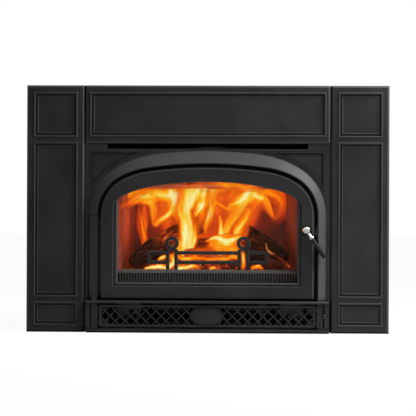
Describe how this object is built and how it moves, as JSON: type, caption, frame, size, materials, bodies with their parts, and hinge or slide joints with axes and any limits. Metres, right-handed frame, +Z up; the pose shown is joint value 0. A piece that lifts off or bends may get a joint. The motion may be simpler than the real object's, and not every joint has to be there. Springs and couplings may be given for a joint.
{
  "type": "fireplace insert",
  "caption": "Wood-burning fireplace insert: cast-iron surround and arched door over a brick-lined firebox with air tubes, blower, air lever and flue collar",
  "frame": {"origin": "On the hearth, at the middle of the width, in the plane where the surround's rear edge meets the wall", "axes": "+Z up, +X to the right of someone facing the insert, +Y into the chimney; the door faces -Y"},
  "size_m": [1, 0.494, 0.682],
  "materials": {
    "cast_iron": "satin black stove paint on cast iron",
    "steel_plate": "heat-darkened plate steel",
    "galvanised_steel": "galvanised sheet",
    "zinc_steel": "zinc-plated steel",
    "stainless_tube": "heat-tinted stainless tube",
    "chrome": "polished chrome",
    "handle_black": "black heat-resistant grip",
    "motor_paint": "black enamel",
    "gland_plastic": "black nylon",
    "ceramic_glass": "clear ceramic glass",
    "glass_tape": "woven glass-fibre tape",
    "rope_seal": "glass-fibre rope",
    "firebrick": "sooted refractory brick",
    "baffle_fibre": "pressed ceramic-fibre board",
    "embers": "glowing embers in ash",
    "burning_wood": "charred split wood"
  },
  "bodies": {
    "insert": {"front_frame": "cast_iron", "base_front": "cast_iron", "base_pan": "galvanised_steel", "levelling_bolts": "zinc_steel", "surround_left_panel": "cast_iron", "surround_right_panel": "cast_iron", "surround_top_panel": "cast_iron", "surround_brackets": "galvanised_steel", "surround_screws": "zinc_steel", "frame_bolts": "zinc_steel", "firebox_front_plate": "steel_plate", "firebox_shell": "steel_plate", "convection_jacket": "galvanised_steel", "flue_collar": "steel_plate", "collar_bolts": "zinc_steel", "floor_bricks": "firebrick", "left_bricks": "firebrick", "right_bricks": "firebrick", "rear_bricks": "firebrick", "baffle_board": "baffle_fibre", "tube_manifold_left": "steel_plate", "tube_manifold_right": "steel_plate", "air_tubes": "stainless_tube", "tube_clip": "steel_plate", "hearth_lip": "cast_iron", "log_guard": "cast_iron", "ember_bed": "embers", "log_back": "burning_wood", "log_front": "burning_wood", "log_left": "burning_wood", "log_right": "burning_wood", "grille_catches": "galvanised_steel", "door_gasket": "rope_seal", "hinge_pins": "zinc_steel", "latch_keeper": "zinc_steel", "keeper_screws": "zinc_steel", "air_inlet_box": "galvanised_steel", "air_lever_bracket": "galvanised_steel", "blower_motor": "motor_paint", "blower_left_housing": "galvanised_steel", "blower_right_housing": "galvanised_steel", "blower_plate": "galvanised_steel", "thermal_switch": "zinc_steel", "cable_gland": "gland_plastic"},
    "door": {"door_frame": "cast_iron", "door_glass": "ceramic_glass", "glass_gasket": "glass_tape", "glass_clips": "zinc_steel", "glass_screws": "zinc_steel"},
    "handle": {"handle_hub": "chrome", "handle_grip": "handle_black", "handle_shaft": "zinc_steel", "latch_pawl": "zinc_steel", "pawl_nut": "zinc_steel"},
    "grille": {"grille_panel": "cast_iron"},
    "air_lever": {"air_lever": "zinc_steel", "air_lever_knob": "handle_black"},
    "air_shutter": {"air_shutter": "zinc_steel"},
    "blower_rotor": {"blower_shaft": "zinc_steel", "blower_wheels": "galvanised_steel"}
  },
  "joints": [
    {"name": "door_hinge", "type": "hinge", "parent": "insert", "child": "door", "pos_m": [-0.312, -0.024, 0.2], "axis": [0, 0, -1], "range_deg": [0, 110]},
    {"name": "handle_turn", "type": "hinge", "parent": "door", "child": "handle", "pos_m": [0.2715, -0.03, 0.2836], "axis": [0, 1, 0], "range_deg": [-50, 34.7]},
    {"name": "air_lever_turn", "type": "hinge", "parent": "insert", "child": "air_lever", "pos_m": [0.32, 0.062, 0.0485], "axis": [1, 0, 0], "range_deg": [-13, 13]},
    {"name": "air_shutter_slide", "type": "slide", "parent": "insert", "child": "air_shutter", "axis": [0, 1, 0], "range_m": [-0.0095, 0.0095]},
    {"name": "grille_slide", "type": "slide", "parent": "insert", "child": "grille", "axis": [0, -1, 0], "range_m": [0, 0.06]},
    {"name": "blower_spin", "type": "hinge", "parent": "insert", "child": "blower_rotor", "pos_m": [0, 0.078, 0.066], "axis": [1, 0, 0], "continuous": true}
  ],
  "couplings": [
    {"joint": "air_shutter_slide", "follows": "air_lever_turn", "m_per_rad": -0.04}
  ]
}
